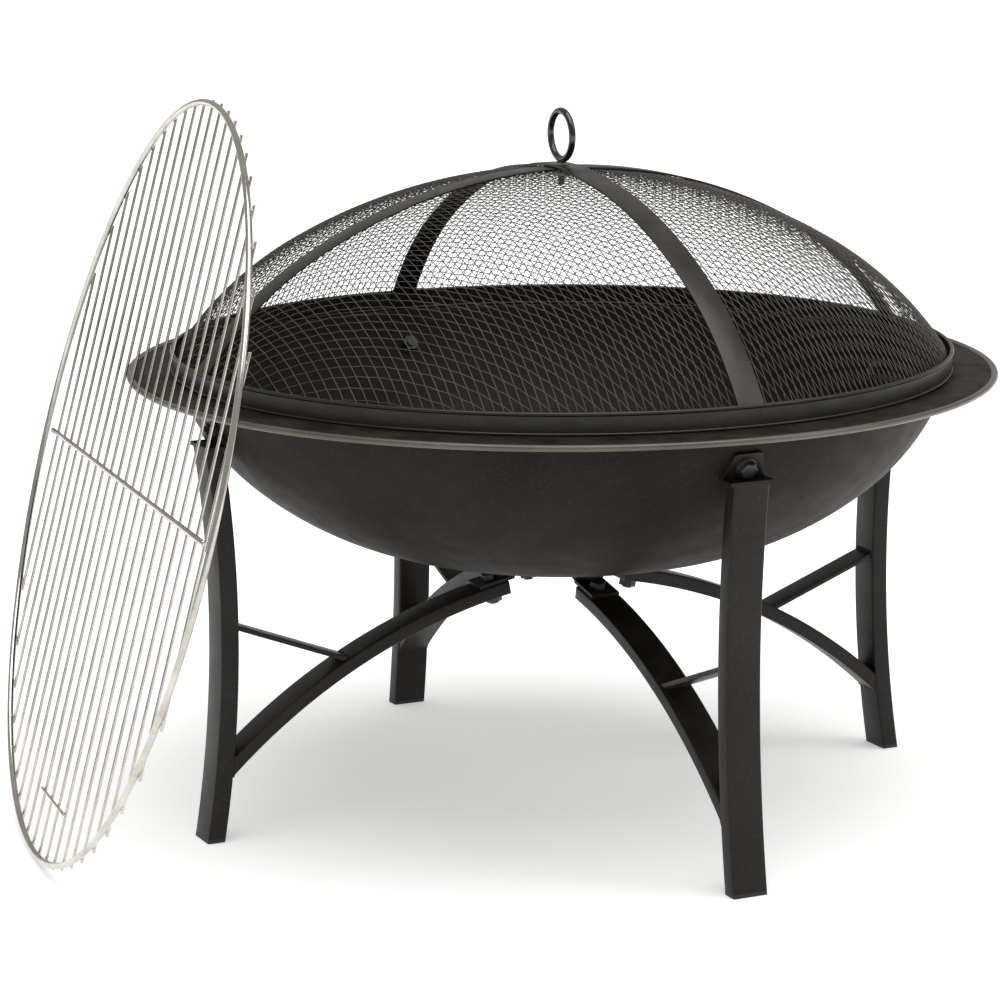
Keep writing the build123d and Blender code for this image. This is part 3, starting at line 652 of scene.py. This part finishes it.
def dome_profile(offset, end_radius):
    """The dome's side view from the axis out to end_radius and down its skirt."""
    top_centre = (0.0, DOME_APEX_Z - DOME_TOP_RADIUS)
    step = DOME_TOP_RADIUS - DOME_SHOULDER_RADIUS
    turn = radians(DOME_TOP_TURN)
    shoulder_centre = (step * sin(turn), top_centre[1] + step * cos(turn))
    shoulder_radius = DOME_SHOULDER_RADIUS + offset
    last = degrees(asin((end_radius - 2.0 - shoulder_centre[0]) / shoulder_radius))
    points = arc(top_centre, DOME_TOP_RADIUS + offset, 90, 90 - DOME_TOP_TURN, 40)
    points += arc(shoulder_centre, shoulder_radius, 90 - DOME_TOP_TURN, 90 - last, 30)[1:]
    corner_z = shoulder_centre[1] + sqrt(shoulder_radius ** 2 - (end_radius - shoulder_centre[0]) ** 2)
    corner = (end_radius, corner_z)
    turn_points, reach = rounded_corner(points[-1], corner, (end_radius, SKIRT_BOTTOM_Z), DOME_CORNER)
    skirt = [(end_radius, SKIRT_BOTTOM_Z + 3.0), (end_radius, SKIRT_BOTTOM_Z)]
    return trimmed(points, corner, reach) + turn_points + skirt


def strap_part(rise):
    """A strap over the dome in the +X plane; rise lifts its crown over the other strap."""
    half = dome_profile(STRAP_GAP + STRAP_THICKNESS / 2, DOME_EDGE_RADIUS + STRAP_GAP + STRAP_THICKNESS / 2)
    lifted = []
    for radius, z in half:
        share = min(1.0, max(0.0, (2 * STRAP_WIDTH - radius) / STRAP_WIDTH))
        lifted.append((radius, z + rise * share * share * (3 - 2 * share)))
    line = [(-r, z) for r, z in lifted[:0:-1]] + lifted
    line = np.array(line)
    tangent = np.gradient(line, axis=0)
    tangent /= np.linalg.norm(tangent, axis=1)[:, None]
    outline = rounded_rectangle(STRAP_WIDTH, STRAP_THICKNESS, 0.5, 3)
    rings = []
    for (x, z), (along_x, along_z) in zip(line, tangent):
        rings.append([(x - along_z * height, y, z + along_x * height) for y, height in outline])
    return skin(rings)


def mesh_height(radius):
    """Height of the wire cloth's middle at a plan radius."""
    middle = -2 * WIRE_RADIUS + 0.1
    top_centre_z = DOME_APEX_Z - DOME_TOP_RADIUS
    step = DOME_TOP_RADIUS - DOME_SHOULDER_RADIUS
    turn = radians(DOME_TOP_TURN)
    if radius < (DOME_TOP_RADIUS + middle) * sin(turn):
        return top_centre_z + sqrt((DOME_TOP_RADIUS + middle) ** 2 - radius ** 2)
    centre = (step * sin(turn), top_centre_z + step * cos(turn))
    return centre[1] + sqrt((DOME_SHOULDER_RADIUS + middle) ** 2 - (radius - centre[0]) ** 2)


def woven_wires():
    """Two sets of straight-laid wires, passing over and under each other."""
    reach = DOME_EDGE_RADIUS - 1.0
    parts = []
    directions = [np.array((cos(radians(a)), sin(radians(a)))) for a in WIRE_DIRECTIONS]
    normals = [np.array((-d[1], d[0])) for d in directions]
    count = int(reach / WIRE_SPACING)
    for own, other, sign in ((0, 1, 1.0), (1, 0, -1.0)):
        across = normals[other].dot(directions[own])
        overlap = normals[other].dot(normals[own])
        for i in range(-count, count + 1):
            offset = i * WIRE_SPACING
            half = sqrt(max(0.0, reach ** 2 - offset ** 2))
            if half < 6.0:
                continue
            low = min(-half * across, half * across)
            high = max(-half * across, half * across)
            j_low = int(np.ceil((low + offset * overlap) / WIRE_SPACING))
            j_high = int(np.floor((high + offset * overlap) / WIRE_SPACING))
            stops = []
            for j in range(j_low, j_high + 1):
                stops.append(((j * WIRE_SPACING - offset * overlap) / across,
                              sign * (1.0 if (i + j) % 2 == 0 else -1.0)))
            stops.sort()
            places = [(-half, 0.0)]
            for index, (place, side) in enumerate(stops):
                if index:
                    places.append(((place + stops[index - 1][0]) / 2, 0.0))
                if abs(place) < half - 2.0:
                    places.append((place, side))
            places.append((half, 0.0))
            places = sorted(p for p in places if abs(p[0]) <= half)
            path = []
            for place, side in places:
                plan = directions[own] * place + normals[own] * offset
                radius = hypot(*plan)
                path.append((plan[0], plan[1], mesh_height(radius) + side * WEAVE_RISE))
            path = skirt_end(path[0])[::-1] + path + skirt_end(path[-1])
            parts.append(tube(path, WIRE_RADIUS, 6))
    return parts


def skirt_end(point):
    """The wire's end, bent down behind the band."""
    x, y, z = point
    grow = (DOME_EDGE_RADIUS + 1.2) / hypot(x, y)
    return [(x * (1 + grow) / 2, y * (1 + grow) / 2, z - 3.0), (x * grow, y * grow, SKIRT_BOTTOM_Z)]


def lifting_ring_part():
    """The round wire ring, standing in the +X plane."""
    centre_z = LIFT_RING_SEAT_Z + LIFT_RING_RADIUS + LIFT_RING_WIRE
    loop = []
    for k in range(96):
        a = 2 * pi * k / 96
        loop.append((LIFT_RING_RADIUS * sin(a), 0.0, centre_z - LIFT_RING_RADIUS * cos(a)))
    return tube(loop, LIFT_RING_WIRE, 28, True)


def stud_outline():
    """The threaded stud under the ring and the small weld collar that joins them."""
    outline = [(0.0, STUD_BOTTOM_Z), (STUD_RADIUS - 0.5, STUD_BOTTOM_Z)]
    z = STUD_BOTTOM_Z + 0.5
    while z < 557.0:
        outline += [(STUD_RADIUS, z), (STUD_RADIUS - 0.45, z + 0.5)]
        z += 1.0
    outline += [(STUD_RADIUS, 557.5), (STUD_RADIUS, LIFT_RING_SEAT_Z), (4.4, LIFT_RING_SEAT_Z + 0.05),
                (4.2, LIFT_RING_SEAT_Z + 0.9), (3.2, LIFT_RING_SEAT_Z + 2.0), (2.0, LIFT_RING_SEAT_Z + 3.4),
                (0.0, LIFT_RING_SEAT_Z + 3.8)]
    return outline


add_piece("band_hoop", [lathe(band_outline(), True)], SCREEN_PAINT, "spark_screen",
          ["screen_band"])
add_piece("mesh_cloth", woven_wires(), MESH_WIRE, "spark_screen", ["screen_mesh"], sharp=75)
add_piece("strap_bar_lower", [turned(strap_part(0.0), FRONT_RIGHT_AZIMUTH + 90)], SCREEN_PAINT,
          "spark_screen", ["screen_strap_lower"])
add_piece("strap_bar_upper", [turned(strap_part(UPPER_STRAP_RISE), FRONT_RIGHT_AZIMUTH)], SCREEN_PAINT,
          "spark_screen", ["screen_strap_upper"])
add_piece("lift_ring_and_stud",
          [turned(lifting_ring_part(), FRONT_RIGHT_AZIMUTH), lathe(stud_outline(), False)],
          RING_GLOSS, "spark_screen", ["lifting_ring"], sharp=50)


# ---- cooking grate -------------------------------------------------------------------
def grate_axes():
    """Origin and the three directions of the grate's own plane, twist included."""
    lean = radians(GRATE_LEAN_ANGLE)
    side = radians(GRATE_LEAN_AZIMUTH)
    outward_x, outward_y = cos(side), sin(side)
    sideways = np.array((-sin(side), cos(side), 0.0))
    normal = np.array((outward_x * cos(lean), outward_y * cos(lean), sin(lean)))
    back_depth = GRATE_RING_WIRE + 2 * GRATE_WIRE
    rim_reach = (RIM_RADIUS - BEAD_RADIUS) * cos(lean) + BEAD_Z * sin(lean)
    offset = rim_reach + BEAD_RADIUS + CLEARANCE + back_depth
    centre_z = GRATE_WIRE_END_RADIUS * cos(lean) + back_depth * sin(lean) + CLEARANCE
    centre_out = (offset - centre_z * sin(lean)) / cos(lean)
    origin = np.array((outward_x * centre_out, outward_y * centre_out, centre_z))
    origin = origin + sideways * GRATE_SIDE_SHIFT
    up = np.cross(normal, sideways)
    twist = radians(GRATE_TWIST)
    x_axis = sideways * cos(twist) + up * sin(twist)
    y_axis = up * cos(twist) - sideways * sin(twist)
    return origin, x_axis, y_axis, normal


GRATE_ORIGIN, GRATE_X, GRATE_Y, GRATE_Z = grate_axes()


def on_grate(x, y, z):
    """A point of the grate's own plane, placed about the bowl's axis."""
    return GRATE_ORIGIN + GRATE_X * x + GRATE_Y * y + GRATE_Z * z


WIRE_LAYER = -(GRATE_RING_WIRE + GRATE_WIRE)
CROSS_BAR_LAYER = WIRE_LAYER + GRATE_WIRE + CROSS_BAR_WIRE
SHORT_BAR_LAYER = WIRE_LAYER + GRATE_WIRE + SHORT_BAR_WIRE


def spot_weld(x, y, z, radius):
    """A small blob where two wires are welded together."""
    turns = np.radians((0, 30, 60, 90, 120, 150, 180))
    path = [on_grate(x, y, z - radius * cos(t)) for t in turns]
    radii = np.array([max(0.12, radius * sin(t)) for t in turns])
    return tube(path, radii, 10)


def ring_part():
    """The grate's outer ring."""
    loop = []
    for k in range(360):
        a = 2 * pi * k / 360
        loop.append(on_grate(GRATE_RING_RADIUS * cos(a), GRATE_RING_RADIUS * sin(a), 0.0))
    return tube(loop, GRATE_RING_WIRE, 20, True)


def wire_parts():
    """The parallel wires, with spot welds on the ring and under the cross bar."""
    parts = []
    for number in range(-GRATE_WIRES_PER_SIDE, GRATE_WIRES_PER_SIDE + 1):
        x = number * GRATE_WIRE_SPACING
        half = sqrt(GRATE_WIRE_END_RADIUS ** 2 - x ** 2)
        parts.append(rod(on_grate(x, -half, WIRE_LAYER), on_grate(x, half, WIRE_LAYER), GRATE_WIRE, 14, 8))
        seat = sqrt(GRATE_RING_RADIUS ** 2 - x ** 2)
        for y in (-seat, seat):
            parts.append(spot_weld(x, y, WIRE_LAYER + GRATE_WIRE, 1.5))
        parts.append(spot_weld(x, 0.0, WIRE_LAYER + GRATE_WIRE, 1.3))
    return parts


def bar_part(start, end, radius, y, layer):
    """A bar laid across the wires."""
    return rod(on_grate(start, y, layer), on_grate(end, y, layer), radius, 18, 8)


add_piece("grate_hoop", [ring_part()], CHROME, "cooking_grate", ["grate_ring"], sharp=70)
add_piece("grate_rods", wire_parts(), CHROME, "cooking_grate", ["grate_wires"], sharp=70)
add_piece("grate_middle_rod", [bar_part(-CROSS_BAR_REACH, CROSS_BAR_REACH, CROSS_BAR_WIRE, 0.0,
                                        CROSS_BAR_LAYER)],
          CHROME, "cooking_grate", ["grate_cross_bar"], sharp=70)
add_piece("grate_short_rod", [bar_part(SHORT_BAR_ENDS[0], SHORT_BAR_ENDS[1], SHORT_BAR_WIRE,
                                       SHORT_BAR_HEIGHT, SHORT_BAR_LAYER)],
          CHROME, "cooking_grate", ["grate_short_bar"], sharp=70)


# ---- CAD nodes that stay as they are -------------------------------------------------
KEPT_MATERIALS = {
    "foot_cap": FOOT_PLASTIC,
    "leg_bracket_bolts": FASTENER_BLACK,
    "leg_bracket_washers": FASTENER_BLACK,
    "leg_bracket_nuts": FASTENER_BLACK,
    "brace_bolts": FASTENER_BLACK,
    "brace_nuts": FASTENER_BLACK,
    "bowl_base_bolts": FASTENER_BLACK,
    "bowl_base_nuts": FASTENER_BLACK,
    "leg_bracket": LEG_PAINT,
    "bowl_bracket": LEG_PAINT,
    "lifting_ring_washer": FASTENER_STEEL,
    "lifting_ring_nut": FASTENER_STEEL,
}
for node_name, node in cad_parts.items():
    matches = [key for key in KEPT_MATERIALS if node_name.startswith(key)]
    if not matches or node.hide_render:
        continue
    material = KEPT_MATERIALS[max(matches, key=len)]
    for material_slot in node.material_slots:
        material_slot.material = material


# ---- floor, light and camera ---------------------------------------------------------
WORLD_STRENGTH = 0.42
OVERHEAD_STRENGTH = 2.2
FLOOR_GLOW = 0.4           # the floor is a light table, so that shadows on it stay pale


def floor():
    """A pale sheet just under the feet."""
    mesh = bpy.data.meshes.new("studio_floor")
    half = 40.0
    mesh.from_pydata([(-half, -half, 0), (half, -half, 0), (half, half, 0), (-half, half, 0)], [],
                     [(0, 1, 2, 3)])
    g = Graph("floor_paper")
    cloud = g.noise(0.6, 3.0)
    g.finish(colour=g.mix(cloud, (0.86, 0.86, 0.86), (0.90, 0.90, 0.90)), roughness=0.9, specular=0.1)
    g.shader.inputs["Emission Color"].default_value = (1.0, 1.0, 1.0, 1.0)
    g.shader.inputs["Emission Strength"].default_value = FLOOR_GLOW
    mesh.materials.append(g.material)
    sheet = bpy.data.objects.new("studio_floor", mesh)
    bpy.context.scene.collection.objects.link(sheet)
    sheet.location.z = -0.0004


def area_light(name, place, target, size, power):
    """A soft round lamp aimed at a target."""
    light = bpy.data.lights.new(name, "AREA")
    light.shape = "DISK"
    light.size = size
    light.energy = power
    lamp = bpy.data.objects.new(name, light)
    bpy.context.scene.collection.objects.link(lamp)
    lamp.location = place
    lamp.rotation_euler = (Vector(target) - Vector(place)).to_track_quat("-Z", "Y").to_euler()


def soft_sun(name, elevation, azimuth, spread, strength):
    """A broad distant light, from elevation above the ground on the side at azimuth."""
    light = bpy.data.lights.new(name, "SUN")
    light.energy = strength
    light.angle = radians(spread)
    lamp = bpy.data.objects.new(name, light)
    bpy.context.scene.collection.objects.link(lamp)
    source = Vector((cos(radians(azimuth)) * cos(radians(elevation)),
                     sin(radians(azimuth)) * cos(radians(elevation)), sin(radians(elevation))))
    lamp.rotation_euler = source.to_track_quat("Z", "Y").to_euler()


def studio():
    """An even pale surround, a broad light overhead and a weak one on the right."""
    world = bpy.data.worlds.new("studio")
    bpy.context.scene.world = world
    world.use_nodes = True
    background = world.node_tree.nodes["Background"]
    background.inputs["Color"].default_value = (1.0, 0.985, 0.95, 1.0)
    background.inputs["Strength"].default_value = WORLD_STRENGTH
    soft_sun("overhead", 78.0, -70.0, 60.0, OVERHEAD_STRENGTH)
    target = (AXIS_X, AXIS_Y, 0.3)
    area_light("rim_right", (AXIS_X + 2.6, AXIS_Y - 0.6, 2.4), target, 1.6, 14.0)
    bpy.context.scene.view_settings.view_transform = "Standard"


CAMERA_BACK = 3.13858
CAMERA_HEIGHT = 0.92941
CAMERA_YAW = -0.99
CAMERA_PITCH = -11.93
CAMERA_ROLL = -0.16
CAMERA_LENS = 130.23


def photo_camera():
    """The camera, set back along -Y from the bowl's axis."""
    data = bpy.data.cameras.new("photo_camera")
    data.lens = CAMERA_LENS
    data.sensor_width = 36.0
    data.clip_start = 0.05
    data.clip_end = 200.0
    camera = bpy.data.objects.new("photo_camera", data)
    bpy.context.scene.collection.objects.link(camera)
    yaw, pitch, roll = (radians(a) for a in (CAMERA_YAW, CAMERA_PITCH, CAMERA_ROLL))
    forward = Vector((sin(yaw) * cos(pitch), cos(yaw) * cos(pitch), sin(pitch)))
    right = forward.cross(Vector((0, 0, 1))).normalized()
    up = right.cross(forward)
    rolled_right = right * cos(roll) + up * sin(roll)
    rolled_up = up * cos(roll) - right * sin(roll)
    turn = Matrix((rolled_right, rolled_up, -forward)).transposed().to_4x4()
    camera.matrix_world = Matrix.Translation((AXIS_X, AXIS_Y - CAMERA_BACK, CAMERA_HEIGHT)) @ turn
    bpy.context.scene.camera = camera


floor()
studio()
photo_camera()
